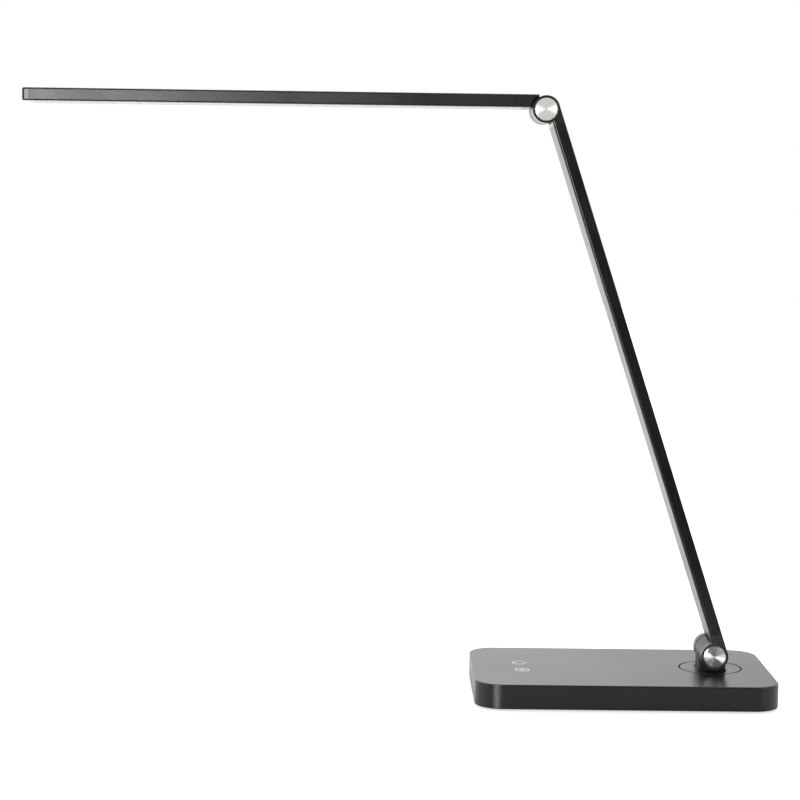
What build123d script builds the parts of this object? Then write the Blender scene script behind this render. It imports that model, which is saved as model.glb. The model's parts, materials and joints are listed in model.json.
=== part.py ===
from build123d import *
import os
from math import sqrt

# A folding LED desk lamp: a flat weighted base with a swivel plate, a hinge post, a thin lower arm and a thin
# light head. The origin is the centre of the base on the desk. The head reaches towards -X and +Z is up.
# All sizes are in millimetres and all angles in degrees.

# Base
base_length = 210.0
base_depth = 126.0
base_height = 17.0
base_corner = 19.0
base_top_round = 0.9
base_bottom_round = 0.5
shell_wall = 2.4
shell_rib = 1.4
shell_rib_drop = 2.0
pad_thickness = 1.2
pad_inset = 5.0
plate_thickness = 1.8
plate_recess = 0.2
ballast_thickness = 5.0
ballast_side_gap = 3.5
ballast_boss_gap = 0.6
ballast_nut_gap = 4.0
ballast_jack_gap = 1.0
lead_slot_width = 11.0
lead_slot_length = 37.5
lead_slot_play = 5.0

# Swivel
swivel_inset = 40.5
disc_radius = 21.65
disc_gap = 0.6
disc_thickness = 2.6
disc_chamfer = 0.3
cup_wall = 2.2
ledge_thickness = 3.0
stem_radius = 7.0
stem_bore = 3.6
bush_wall = 2.0
bush_flange_radius = 14.0
bush_flange = 0.8
stop_radius = 17.0
stop_pin_radius = 1.5
stop_pin_short = 0.6
swivel_travel = 90.0
thrust_washer_radius = 12.5
thrust_washer = 1.0
cone_spring = 0.5
cone_spring_rise = 0.9
clamp_nut_flats = 20.0
clamp_nut_height = 3.4
stem_end = 0.5

# Hinges, the same at both ends of the arm
hinge_radius = 9.5
hinge_width = 41.0
tine_width = 8.3
near_gap = 0.3
far_gap = 1.2
barrel_undersize = 0.1
barrel_chamfer = 0.3
rim_round = 0.35
root_gap = 0.9
cap_radius = 7.9
cap_thickness = 1.5
cap_chamfer = 0.45
cap_inset = 0.15
cap_collar = 1.0
cap_collar_wall = 0.65
pocket_radius = 6.3
pocket_depth = 4.0
axle_radius = 2.5
axle_head_radius = 4.6
axle_head = 2.6
axle_socket = 2.0
axle_end_gap = 0.3
hinge_bush_wall = 1.2
hinge_bush_length = 8.0
disc_springs = 2
disc_spring = 0.45
disc_spring_radius = 4.8
lock_nut_flats = 8.0
lock_nut_height = 2.0
friction_washer_radius = 7.6
duct_radius = 1.3
duct_offset = 6.5
duct_play = 0.1

# Post under the lower hinge
pivot_rise = 11.8
post_depth = 18.4
post_seat = 0.5
post_corner = 1.0
plinth_height = 0.8
plinth_edge = 0.8
plinth_corner = 1.2
way_floor = 2.0
way_roof = 1.6

# Arm
arm_span = 400.0
arm_lean = 18.3
arm_thickness = 8.2
arm_round = 1.6
arm_back_round = 0.6
arm_wall = 1.2
lower_fitting = 15.0
upper_fitting = 13.0
spigot_length = 14.0
cable_width = 6.0
cable_thickness = 1.6
way_gap = 0.3
seam_chamfer = 0.15

# Head
head_reach = 359.0
head_thickness = 8.9
head_rise = 0.5
head_round = 1.2
head_side_wall = 1.8
head_roof = 1.6
head_lip = 0.8
head_lip_width = 3.1
groove_depth = 0.5
shoulder_gap = 1.4
neck_end = 4.4
knuckle_fitting = 16.0
tip_cap_length = 5.1
tip_corner_round = 2.1
tip_spigot = 6.0
diffuser_thickness = 1.5
board_width = 30.0
board_thickness = 1.2
board_end_gap = 2.5
led_rows = 2
led_columns = 26
led_row_pitch = 14.0
led_length = 3.5
led_width = 2.8
led_height = 0.7
reflector_thickness = 0.3

# Touch controls and power inlet
touch_inset = 34.5
touch_y = -2.0
touch_pitch = 24.0
control_length = 52.0
control_width = 46.0
control_thickness = 1.6
control_hole_inset = 4.0
chip_length = 7.0
chip_width = 6.0
chip_height = 1.1
coil_radius = 2.6
coil_height = 1.8
capacitor_radius = 1.4
capacitor_height = 1.6
capacitor_pitch = 4.0
socket_length = 6.4
socket_width = 5.0
socket_inset = 6.0
spring_height = 3.5
spring_radius = 3.0
spring_wire = 0.3
spring_turns = 3.0
jack_inset = 25.0
jack_length = 13.0
jack_width = 9.0
jack_body_height = 9.6
jack_body_round = 0.8
jack_lift = 2.2
jack_nose_radius = 3.9
jack_bore = 2.9
jack_bore_depth = 9.5
jack_pin_radius = 1.0
jack_pin_inset = 1.0
lead_radius = 0.9
lead_pitch = 2.1
lead_bend = 9.0
lead_plate_gap = 0.6

# Fasteners
cover_screw_radius = 1.25
cover_screw_head = 2.9
cover_screw_length = 9.0
cover_screw_inset = 13.0
ballast_screw_radius = 1.5
ballast_screw_head = 2.9
ballast_screw_length = 6.0
ballast_screw_inset_left = 32.5
ballast_screw_reach = 35.9
ballast_screw_inset_side = 20.8
fitting_screw_radius = 1.2
fitting_screw_head = 2.3
fitting_screw_length = 4.2
fitting_screw_pitch = 24.0
board_screw_radius = 0.9
board_screw_head = 1.8
board_screw_length = 4.0
board_screw_cap = 1.2
boss_wall = 2.3
board_post_wall = 1.6

# Clearances
slip = 0.05
seat_gap = 0.15
washer_play = 0.02

# Places in the base, which keep their distance from its edges
swivel_x = base_length / 2 - swivel_inset
touch_x = touch_inset - base_length / 2
jack_y = base_depth / 2 - jack_inset

# Heights in the base, worked out from the desk up
plate_z = pad_thickness
shell_bottom = plate_z - plate_recess
shell_top = shell_bottom + base_height
shell_ceiling = shell_top - shell_wall
plate_top = plate_z + plate_thickness
ballast_top = plate_top + ballast_thickness
recess_floor = shell_top - disc_thickness - bush_flange
ledge_bottom = recess_floor - ledge_thickness
thrust_bottom = ledge_bottom - thrust_washer
cone_bottom = thrust_bottom - cone_spring_rise
clamp_nut_bottom = cone_bottom - clamp_nut_height
stem_bottom = clamp_nut_bottom - stem_end
pivot_z = shell_top + pivot_rise
control_top = shell_ceiling - spring_height
control_bottom = control_top - control_thickness
lead_z = ballast_top + lead_radius + seat_gap
jack_z = plate_top + jack_lift + jack_body_height / 2

# Places across the hinges: the near side is -Y
near_face = -hinge_width / 2
far_face = hinge_width / 2
near_tine = near_face + tine_width
far_tine = far_face - tine_width
near_barrel = near_tine + near_gap
far_barrel = far_tine - far_gap
barrel_radius = hinge_radius - barrel_undersize
cap_recess = cap_thickness + cap_inset
arm_middle = hinge_radius - arm_thickness / 2
head_top = hinge_radius + head_rise
head_middle = head_top - head_thickness / 2
root = barrel_radius + root_gap
bush_bore = axle_radius + slip
bush_outside = bush_bore + hinge_bush_wall
duct_outlet = sqrt(barrel_radius ** 2 - (duct_offset + duct_radius) ** 2)

swivel_place = Location((swivel_x, 0, 0))
arm_place = Location((swivel_x, 0, pivot_z), (0, -arm_lean, 0))
upper_pivot = (arm_place * Location((0, 0, arm_span))).position
head_place = Location(upper_pivot)


def bar(thickness, width, corner, start, end):
    """A rounded bar along Z from start to end: thickness along X, width along Y."""
    return Pos(0, 0, start) * extrude(RectangleRounded(thickness, width, corner), end - start)


def block(x0, x1, y0, y1, z0, z1):
    """A box between two corners."""
    return Pos((x0 + x1) / 2, (y0 + y1) / 2, (z0 + z1) / 2) * Box(x1 - x0, y1 - y0, z1 - z0)


def upright(radius, z0, z1, x=0.0, y=0.0):
    """A cylinder along Z."""
    return Pos(x, y, (z0 + z1) / 2) * Cylinder(radius, z1 - z0)


def across(radius, y0, y1, x=0.0, z=0.0):
    """A cylinder along Y."""
    return Pos(x, (y0 + y1) / 2, z) * Rot(90, 0, 0) * Cylinder(radius, y1 - y0)


def lengthwise(radius, x0, x1, y=0.0, z=0.0):
    """A cylinder along X."""
    return Pos((x0 + x1) / 2, y, z) * Rot(0, 90, 0) * Cylinder(radius, x1 - x0)


def countersunk_screw(radius, head, length):
    """A countersunk screw along +Z with its flat head face at z = 0."""
    cone = head - radius
    outline = Polyline((0, 0), (head, 0), (radius, cone), (radius, length - radius), (radius / 2, length),
                       (0, length), close=True)
    return revolve(Plane.XZ * make_face(outline), Axis.Z)


def countersink(radius, head, depth):
    """The hole that a countersunk screw passes through, with its seat at z = 0."""
    bore, seat = radius + slip, head + slip
    outline = Polyline((0, 0), (seat, 0), (bore, seat - bore), (bore, depth), (0, depth), close=True)
    return revolve(Plane.XZ * make_face(outline), Axis.Z)


def cone_ring(bore, radius, thickness, rise):
    """A cone-shaped disc spring on Z, standing on z = 0."""
    outline = Polyline((bore, rise - thickness), (radius, 0), (radius, thickness), (bore, rise), close=True)
    return revolve(Plane.XZ * make_face(outline), Axis.Z)


def ring(bore, radius, thickness):
    """A flat washer on Z, standing on z = 0."""
    return upright(radius, 0, thickness) - upright(bore, 0, thickness)


def nut(flats, bore, height):
    """A hexagon nut on Z with chamfered corners, standing on z = 0."""
    corner_radius = flats / sqrt(3)
    body = extrude(RegularPolygon(flats / 2, 6, major_radius=False), height)
    slope = (corner_radius - flats / 2) * 0.9
    outline = Polyline((0, 0), (flats / 2, 0), (corner_radius, slope), (corner_radius, height - slope),
                       (flats / 2, height), (0, height), close=True)
    return (body & revolve(Plane.XZ * make_face(outline), Axis.Z)) - upright(bore, 0, height)


# Base

cover_screws_at = [
    (x, y)
    for x in (-base_length / 2 + cover_screw_inset, 0.0, base_length / 2 - cover_screw_inset)
    for y in (-base_depth / 2 + cover_screw_inset, base_depth / 2 - cover_screw_inset)
]
ballast_screws_at = [
    (x, y)
    for x in (-base_length / 2 + ballast_screw_inset_left, swivel_x - ballast_screw_reach)
    for y in (-base_depth / 2 + ballast_screw_inset_side, base_depth / 2 - ballast_screw_inset_side)
]
control_holes_at = [
    (touch_x + side * (control_length / 2 - control_hole_inset),
     touch_y + end * (control_width / 2 - control_hole_inset))
    for side in (-1, 1)
    for end in (-1, 1)
]
touch_keys_at = [(touch_x, touch_y + side * touch_pitch / 2) for side in (-1, 1)]
boss_radius = cover_screw_radius + boss_wall
cup_radius = disc_radius + disc_gap + cup_wall
jack_back = base_length / 2 - shell_wall - slip - jack_length
stop_reach = disc_thickness + bush_flange + ledge_thickness - stop_pin_short


def stop_slot():
    """The arc slot in the ledge that the stop pin under the swivel disc runs in."""
    clear = stop_pin_radius + seat_gap
    section = Pos(stop_radius, (ledge_bottom + recess_floor) / 2) * Rectangle(2 * clear, ledge_thickness)
    slot = Rot(0, 0, -swivel_travel) * revolve(Plane.XZ * section, Axis.Z, 2 * swivel_travel)
    for side in (-1, 1):
        slot += Rot(0, 0, side * swivel_travel) * upright(clear, ledge_bottom, recess_floor, stop_radius)
    return slot


def base_shell():
    """The top cover: a shallow tray turned over, with swivel cup, screw bosses, board posts and low ribs."""
    outline = RectangleRounded(base_length, base_depth, base_corner)
    outside = Pos(0, 0, shell_bottom) * extrude(outline, base_height)
    outside = fillet(outside.edges().group_by(Axis.Z)[-1], base_top_round)
    outside = fillet(outside.edges().group_by(Axis.Z)[0], base_bottom_round)
    inner_length, inner_depth = base_length - 2 * shell_wall, base_depth - 2 * shell_wall
    inside = RectangleRounded(inner_length, inner_depth, base_corner - shell_wall)
    shell = outside - Pos(0, 0, shell_bottom) * extrude(inside, base_height - shell_wall)

    ribs = Part()
    for y in (-inner_depth / 4, inner_depth / 4):
        ribs += block(-inner_length / 2, inner_length / 2, y - shell_rib / 2, y + shell_rib / 2,
                      shell_ceiling - shell_rib_drop, shell_ceiling)
    for x in (-inner_length / 6, inner_length / 24):
        ribs += block(x - shell_rib / 2, x + shell_rib / 2, -inner_depth / 2, inner_depth / 2,
                      shell_ceiling - shell_rib_drop, shell_ceiling)
    margin = seat_gap + shell_rib
    ribs -= block(touch_x - control_length / 2 - margin, touch_x + control_length / 2 + margin,
                  touch_y - control_width / 2 - margin, touch_y + control_width / 2 + margin,
                  shell_ceiling - shell_rib_drop, shell_ceiling)
    shell += ribs

    for x, y in cover_screws_at:
        shell += upright(boss_radius, plate_top, shell_ceiling, x, y)
        shell -= upright(cover_screw_radius + slip, plate_top, plate_top + cover_screw_length, x, y)
    for x, y in control_holes_at:
        shell += upright(board_screw_radius + board_post_wall, control_top, shell_ceiling, x, y)
        shell -= upright(board_screw_radius + slip, control_top, control_top + board_screw_length, x, y)

    shell += upright(cup_radius, ledge_bottom, shell_ceiling, swivel_x)
    shell -= upright(disc_radius + disc_gap, recess_floor, shell_top, swivel_x)
    shell -= upright(stem_radius + slip + bush_wall + slip, ledge_bottom, recess_floor, swivel_x)
    shell -= swivel_place * stop_slot()

    shell -= lengthwise(jack_nose_radius + slip, base_length / 2 - 2 * shell_wall, base_length / 2,
                        jack_y, jack_z)
    return shell


def base_plate():
    """The bottom plate, let into the shell's rim."""
    length = base_length - 2 * shell_wall - 2 * seat_gap
    depth = base_depth - 2 * shell_wall - 2 * seat_gap
    outline = RectangleRounded(length, depth, base_corner - shell_wall - seat_gap)
    plate = Pos(0, 0, plate_z) * extrude(outline, plate_thickness)
    for x, y in cover_screws_at:
        plate -= Pos(x, y, plate_z) * countersink(cover_screw_radius, cover_screw_head, plate_thickness)
    for x, y in ballast_screws_at:
        plate -= Pos(x, y, plate_z) * countersink(ballast_screw_radius, ballast_screw_head, plate_thickness)
    return plate


def foot_pad():
    """The anti-slip pad that the lamp stands on."""
    length, depth = base_length - 2 * pad_inset, base_depth - 2 * pad_inset
    return extrude(RectangleRounded(length, depth, base_corner - pad_inset), pad_thickness)


def ballast_plate():
    """The weight: a steel plate cut out round the swivel, the bosses and the inlet."""
    gap = shell_wall + ballast_side_gap
    outline = RectangleRounded(base_length - 2 * gap, base_depth - 2 * gap, base_corner - gap)
    plate = Pos(0, 0, plate_top) * extrude(outline, ballast_thickness)
    bosses = Part()
    for x, y in cover_screws_at:
        bosses += upright(boss_radius + ballast_boss_gap, plate_top, ballast_top, x, y)
    plate -= bosses
    for x, y in ballast_screws_at:
        plate -= upright(ballast_screw_radius + slip, plate_top, ballast_top, x, y)
    cut = upright(thrust_washer_radius + ballast_nut_gap, plate_top, ballast_top, swivel_x)
    cut += block(swivel_x - lead_slot_length, swivel_x, -lead_slot_width / 2, lead_slot_width / 2, plate_top,
                 ballast_top)
    cut += block(jack_back - ballast_jack_gap, base_length / 2, jack_y - jack_width / 2 - ballast_jack_gap,
                 jack_y + jack_width / 2 + ballast_jack_gap, plate_top, ballast_top)
    return plate - cut


def row_of(piece, places, z):
    """Copies of one piece at a list of places, as separate solids of one group."""
    return Compound(children=[Pos(x, y, z) * piece for x, y in places])


def control_board():
    """The touch control board under the left end of the base top."""
    board = block(touch_x - control_length / 2, touch_x + control_length / 2, touch_y - control_width / 2,
                  touch_y + control_width / 2, control_bottom, control_top)
    for x, y in control_holes_at:
        board -= upright(board_screw_radius + slip, control_bottom, control_top, x, y)
    return board


power_socket_x = touch_x + control_length / 4
power_socket_y = touch_y + control_width / 2 - socket_inset
lamp_socket_x = touch_x + control_length / 2 - socket_inset
socket_bottom = lead_z - lead_radius


def control_parts():
    """The components under the board: two lead sockets, a control chip, a coil and two capacitors."""
    chip = Pos(touch_x - chip_length, touch_y, control_bottom - chip_height / 2) \
        * Box(chip_length, chip_width, chip_height)
    coil = upright(coil_radius, control_bottom - coil_height, control_bottom,
                   touch_x, touch_y + control_width / 4)
    small = [upright(capacitor_radius, control_bottom - capacitor_height, control_bottom,
                     touch_x, touch_y - control_width / 4 - capacitor_pitch * i) for i in range(2)]
    length, width = socket_length / 2, socket_width / 2
    power_socket = block(power_socket_x - length, power_socket_x + length, power_socket_y - width,
                         power_socket_y + width, socket_bottom, control_bottom)
    lamp_socket = block(lamp_socket_x - width, lamp_socket_x + width, -length, length,
                        socket_bottom, control_bottom)
    return Compound(children=[chip, coil, *small, power_socket, lamp_socket])


def touch_springs():
    """The two coil springs that carry the touch from the base top to the board."""
    springs = []
    for x, y in touch_keys_at:
        rise = spring_height - 2 * spring_wire - 2 * washer_play
        helix = Helix(rise / spring_turns, rise, spring_radius - spring_wire)
        start = Plane(origin=helix @ 0, z_dir=helix % 0)
        springs.append(Pos(x, y, control_top + spring_wire + washer_play)
                       * sweep(start * Circle(spring_wire), path=helix, is_frenet=True))
    return Compound(children=springs)


def dc_jack():
    """The power inlet: a block behind the right end wall with a round nose in the wall."""
    body = block(jack_back, jack_back + jack_length, jack_y - jack_width / 2, jack_y + jack_width / 2,
                 jack_z - jack_body_height / 2, jack_z + jack_body_height / 2)
    body = fillet(body.edges().filter_by(Axis.X), jack_body_round)
    body += lengthwise(jack_nose_radius, jack_back + jack_length / 2, base_length / 2, jack_y, jack_z)
    body -= lengthwise(jack_bore, base_length / 2 - jack_bore_depth, base_length / 2, jack_y, jack_z)
    body -= lengthwise(jack_pin_radius + slip / 2, jack_back, base_length / 2, jack_y, jack_z)
    return body


def jack_pin():
    """The inlet's centre pin with a rounded end."""
    pin = lengthwise(jack_pin_radius, jack_back, base_length / 2 - jack_pin_inset, jack_y, jack_z)
    return fillet(pin.edges().group_by(Axis.X)[-1], jack_pin_radius / 2)


def tube_along(points, radii, radius):
    """A round lead along straight runs joined by arcs."""
    path = FilletPolyline(*points, radius=radii)
    return sweep(Plane(origin=path @ 0, z_dir=path % 0) * Circle(radius), path=path)


def power_lead():
    """The two wires from the inlet to the control board."""
    wires = []
    for side in (-1, 1):
        x = power_socket_x - side * lead_pitch / 2
        y = jack_y + side * lead_pitch / 2
        points = [(jack_back, y, lead_z), (x, y, lead_z), (x, power_socket_y + socket_width / 2, lead_z)]
        wires.append(tube_along(points, lead_bend + side * lead_pitch / 2, lead_radius))
    return Compound(children=wires)


lead_low = plate_top + lead_radius + lead_plate_gap
lead_top = shell_top - disc_thickness


def lamp_lead():
    """The lead from the control board, under the swivel nut and up the middle of the stem."""
    dip_start = swivel_x - lead_slot_length + lead_slot_play
    dip_end = swivel_x - lead_slot_length / 2
    points = [(lamp_socket_x + socket_width / 2, 0, lead_z), (dip_start, 0, lead_z), (dip_end, 0, lead_low),
              (swivel_x, 0, lead_low), (swivel_x, 0, lead_top)]
    return tube_along(points, [lead_bend, lead_bend, stem_bore], lead_radius)


# Swivel

post_half = hinge_radius - barrel_undersize
post_bottom = shell_top - post_seat
plinth_length = 2 * (post_half + plinth_edge)
plinth_width = post_depth + 2 * plinth_edge
way_top = pivot_z - bush_outside - way_roof


def swivel_bush():
    """The flanged bush that the stem turns in and the disc turns on."""
    sleeve = upright(stem_radius + slip + bush_wall, ledge_bottom, recess_floor, swivel_x)
    flange = upright(bush_flange_radius, recess_floor, recess_floor + bush_flange - washer_play, swivel_x)
    bore = upright(stem_radius + slip, ledge_bottom, shell_top, swivel_x)
    return sleeve + flange - bore


def swivel_disc():
    """The round plate flush with the base top, with the post's seat in it and the stop pin under it."""
    disc = upright(disc_radius, shell_top - disc_thickness, shell_top)
    disc = chamfer(disc.edges().group_by(Axis.Z)[-1], disc_chamfer)
    seat = RectangleRounded(plinth_length + 2 * slip, plinth_width + 2 * slip, plinth_corner + slip)
    disc -= Pos(0, 0, post_bottom) * extrude(seat, post_seat)
    disc -= upright(stem_radius + slip, shell_top - disc_thickness, shell_top)
    disc += upright(stop_pin_radius, shell_top - stop_reach, shell_top - disc_thickness, stop_radius)
    return swivel_place * disc


def hinge_post():
    """The cast post: barrel on top, upright block, plinth in the disc's seat and threaded stem below."""
    post = across(barrel_radius, near_barrel, far_barrel, 0, pivot_z)
    post = chamfer(post.edges(), barrel_chamfer)
    block_part = block(-post_half, post_half, -post_depth / 2, post_depth / 2, post_bottom, pivot_z)
    post += fillet(block_part.edges().filter_by(Axis.Z), post_corner)
    plinth = RectangleRounded(plinth_length, plinth_width, plinth_corner)
    post += Pos(0, 0, post_bottom) * extrude(plinth, plinth_height + post_seat)
    post += upright(stem_radius, stem_bottom, post_bottom)
    post -= across(bush_outside + slip / 2, near_barrel, far_barrel, 0, pivot_z)
    post -= upright(stem_bore, stem_bottom, post_bottom + way_floor + duct_radius)
    post -= block(-stem_bore, duct_offset + duct_radius, -duct_radius - duct_play, duct_radius + duct_play,
                  post_bottom + way_floor, way_top)
    post -= upright(duct_radius, post_bottom + way_floor, pivot_z + barrel_radius, duct_offset)
    return swivel_place * post


def post_lead():
    """The lead from the stem up to the duct beside the axle."""
    turn = post_bottom + way_floor
    points = [(0, 0, lead_top), (0, 0, turn), (duct_offset, 0, way_top - duct_radius),
              (duct_offset, 0, pivot_z + duct_outlet)]
    return swivel_place * tube_along(points, 3 * lead_radius, lead_radius)


def swivel_stack():
    """The thrust washer, cone spring and clamp nut under the ledge."""
    bore = stem_radius + slip
    washer = Pos(0, 0, thrust_bottom) * ring(bore, thrust_washer_radius, thrust_washer - washer_play)
    cone = Pos(0, 0, cone_bottom) * cone_ring(bore, thrust_washer_radius - thrust_washer, cone_spring,
                                               cone_spring_rise)
    clamp = Pos(0, 0, clamp_nut_bottom) * nut(clamp_nut_flats, bore, clamp_nut_height)
    return swivel_place * washer, swivel_place * cone, swivel_place * clamp


# Hinge hardware, placed round a pivot with its axis along Y

toward_far = Rot(-90, 0, 0)
toward_near = Rot(90, 0, 0)


def hinge_axle():
    """The hinge bolt, with its head in the far tine's pocket and its end in the near tine's."""
    pocket_floor = far_face - cap_recess - pocket_depth
    shank = across(axle_radius, near_face + cap_recess + axle_end_gap, pocket_floor)
    head = across(axle_head_radius, pocket_floor, pocket_floor + axle_head)
    socket = extrude(RegularPolygon(axle_socket, 6), axle_socket)
    return shank + head - Pos(0, pocket_floor + axle_head, 0) * toward_near * socket


def hinge_springs():
    """The cone-shaped disc springs under the lock nut, nested one on the other."""
    floor = near_face + cap_recess + pocket_depth
    cone = cone_ring(axle_radius + slip, disc_spring_radius, disc_spring, 2 * disc_spring)
    return Compound(children=[Pos(0, floor - i * (disc_spring + washer_play), 0) * toward_near * cone
                              for i in range(disc_springs)])


def hinge_nut():
    """The lock nut on the bolt's end."""
    stack = (disc_springs + 1) * disc_spring + disc_springs * washer_play
    lock_nut = nut(lock_nut_flats, axle_radius + slip, lock_nut_height)
    return Pos(0, near_face + cap_recess + pocket_depth - stack, 0) * toward_near * lock_nut


def friction_washers():
    """The washer in each gap between the barrel and a tine."""
    washers = []
    for start, gap in ((near_tine, near_gap), (far_barrel, far_gap)):
        washer = ring(axle_radius + slip, friction_washer_radius, gap - 2 * washer_play)
        washers.append(Pos(0, start + washer_play, 0) * toward_far * washer)
    return Compound(children=washers)


def barrel_bushes():
    """A plain bush in each end of the barrel."""
    bushes = []
    for start in (near_barrel, far_barrel - hinge_bush_length):
        bush = ring(bush_bore, bush_outside, hinge_bush_length)
        bushes.append(Pos(0, start, 0) * toward_far * bush)
    return Compound(children=bushes)


def hinge_cap(side):
    """The spun metal cap in a tine's round recess, with a collar that clips into the pocket."""
    disc = upright(cap_radius, 0, cap_thickness)
    disc = chamfer(disc.edges().group_by(Axis.Z)[-1], cap_chamfer)
    collar = ring(pocket_radius - slip - cap_collar_wall, pocket_radius - slip, cap_collar)
    cap = disc + Pos(0, 0, -cap_collar) * collar
    if side < 0:
        return Pos(0, near_face + cap_recess, 0) * toward_near * cap
    return Pos(0, far_face - cap_recess, 0) * toward_far * cap


# Arm

tube_inside = arm_thickness - 2 * arm_wall
tube_inside_width = hinge_width - 2 * arm_wall
tube_inside_round = arm_round / 2


def arm_bar(start, end):
    """The arm's outer form from start to end: its back, on the +X side, has tighter corners than its front."""
    outline = RectangleRounded(arm_thickness, hinge_width, arm_round)
    outline += Pos(arm_thickness / 4, 0) * RectangleRounded(arm_thickness / 2, hinge_width, arm_back_round)
    return Pos(0, 0, start) * extrude(outline, end - start)


def fork(fitting):
    """A fork fitting at the lower pivot: two round-ended tines, a root block and a spigot for the profile."""
    body = arm_bar(0, fitting)
    body = Pos(arm_middle, 0, 0) * chamfer(body.edges().group_by(Axis.Z)[-1], seam_chamfer)
    hub = across(hinge_radius, near_face, far_face)
    body += fillet(hub.edges(), rim_round)
    body -= block(-2 * hinge_radius, 2 * hinge_radius, near_tine, far_tine, -2 * hinge_radius, root)
    spigot_thickness = tube_inside - 2 * seat_gap
    spigot_width = tube_inside_width - 2 * seat_gap
    body += Pos(arm_middle, 0, 0) * bar(spigot_thickness, spigot_width, tube_inside_round, fitting,
                                        fitting + spigot_length)
    way_x, way_y = cable_thickness / 2 + way_gap, cable_width / 2 + way_gap
    body -= block(arm_middle - way_x, arm_middle + way_x, -way_y, way_y, root, fitting + spigot_length)
    body -= across(axle_radius + slip, near_face, far_face)
    for outer, inner in ((near_face, near_face + cap_recess), (far_face - cap_recess, far_face)):
        body -= across(cap_radius + slip, outer, inner)
    for outer, inner in ((near_face, near_face + cap_recess + pocket_depth),
                         (far_face - cap_recess - pocket_depth, far_face)):
        body -= across(pocket_radius, outer, inner)
    for side in (-1, 1):
        body -= lengthwise(fitting_screw_radius + slip, hinge_radius - fitting_screw_length - seat_gap,
                           hinge_radius, side * fitting_screw_pitch / 2, fitting + spigot_length / 2)
    return body


def from_upper(shape):
    """Turns a piece made for the lower pivot into its mirror image at the upper pivot."""
    return mirror(shape, Plane.XY.offset(arm_span / 2))


def fitting_screws(fitting):
    """The two screws through the back of the profile into a fork's spigot."""
    screw = countersunk_screw(fitting_screw_radius, fitting_screw_head, fitting_screw_length)
    z = fitting + spigot_length / 2
    return Compound(children=[Pos(hinge_radius, side * fitting_screw_pitch / 2, z) * Rot(0, -90, 0) * screw
                              for side in (-1, 1)])


def arm_tube():
    """The hollow flat profile between the forks."""
    start, end = lower_fitting, arm_span - upper_fitting
    outside = arm_bar(start, end)
    rims = outside.edges().group_by(Axis.Z)
    outside = chamfer(rims[0] + rims[-1], seam_chamfer)
    inside = bar(tube_inside, tube_inside_width, tube_inside_round, start, end)
    tube = Pos(arm_middle, 0, 0) * (outside - inside)
    hole = countersink(fitting_screw_radius, fitting_screw_head, 2 * arm_wall)
    for z in (start + spigot_length / 2, end - spigot_length / 2):
        for side in (-1, 1):
            tube -= Pos(hinge_radius, side * fitting_screw_pitch / 2, z) * Rot(0, -90, 0) * hole
    return tube


def arm_cable():
    """The flat cable inside the arm, held in the cable ways of the two forks."""
    start, end = root + way_gap, arm_span - root - way_gap
    return Pos(arm_middle, 0, 0) * bar(cable_thickness, cable_width, cable_thickness / 3, start, end)


# Head, drawn round the upper pivot with its length along -X

head_low = head_top - head_thickness
head_end = -(head_reach - tip_cap_length)
cavity_width = hinge_width - 2 * head_side_wall
cavity_top = head_top - head_roof
groove_low = head_low + head_lip
groove_high = groove_low + diffuser_thickness + seat_gap
head_board_start = -(knuckle_fitting + spigot_length + board_end_gap)
head_board_end = head_end + tip_spigot + board_end_gap
spigot_low = groove_high + seat_gap
spigot_high = cavity_top - seat_gap
head_board_low = cavity_top - board_thickness


def along_head(sketch, start, end):
    """Pushes a sketch, drawn as Y across and Z up, from x = start to x = end."""
    return Pos(start, 0, 0) * extrude(Plane.YZ * sketch, end - start)


def rectangle_between(y_half, z0, z1):
    """A rectangle centred across the head between two heights."""
    return Pos(0, (z0 + z1) / 2) * Rectangle(2 * y_half, z1 - z0)


def head_outline():
    """The head's outer section."""
    return Pos(0, head_middle) * RectangleRounded(hinge_width, head_thickness, head_round)


def head_housing():
    """The aluminium channel of the head, open below, with grooves that hold the diffuser."""
    outside = along_head(head_outline(), head_end, -knuckle_fitting)
    rims = outside.edges().group_by(Axis.X)
    outside = chamfer(rims[0] + rims[-1], seam_chamfer)
    section = rectangle_between(cavity_width / 2, groove_low, cavity_top)
    section += rectangle_between(cavity_width / 2 + groove_depth, groove_low, groove_high)
    section += rectangle_between(hinge_width / 2 - head_lip_width, head_low, groove_low)
    housing = outside - along_head(section, head_end, -knuckle_fitting)
    hole = countersink(fitting_screw_radius, fitting_screw_head, 2 * head_roof)
    for side in (-1, 1):
        housing -= Pos(-knuckle_fitting - spigot_length / 2, side * fitting_screw_pitch / 2, head_top) \
            * Rot(180, 0, 0) * hole
    return housing


def head_knuckle():
    """The cast knuckle: a barrel and neck between the tines, shoulders hollowed round them, and a spigot."""
    shoulders = along_head(head_outline(), -knuckle_fitting, 0)
    shoulders = chamfer(shoulders.edges().group_by(Axis.X)[0], seam_chamfer)
    for start, end in ((near_face, near_barrel), (far_barrel, far_face)):
        shoulders -= across(hinge_radius + shoulder_gap, start, end)
    shoulders -= block(-neck_end, 0, near_barrel, far_barrel, head_low, head_top)
    barrel = chamfer(across(barrel_radius, near_barrel, far_barrel).edges(), barrel_chamfer)
    body = barrel + shoulders
    body += along_head(rectangle_between(cavity_width / 2 - seat_gap, spigot_low, spigot_high),
                       -knuckle_fitting - spigot_length, -knuckle_fitting)
    body -= across(bush_outside + slip / 2, near_barrel, far_barrel)
    body -= lengthwise(duct_radius, -knuckle_fitting - spigot_length, hinge_radius, 0, duct_offset)
    groove = across(hinge_radius, -duct_radius, duct_radius) - across(duct_offset, -duct_radius, duct_radius)
    groove &= block(0, 2 * hinge_radius, -duct_radius, duct_radius, -2 * hinge_radius, duct_offset)
    body -= groove
    for side in (-1, 1):
        body -= upright(fitting_screw_radius + slip, spigot_low, head_top,
                        -knuckle_fitting - spigot_length / 2, side * fitting_screw_pitch / 2)
    return body


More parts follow.
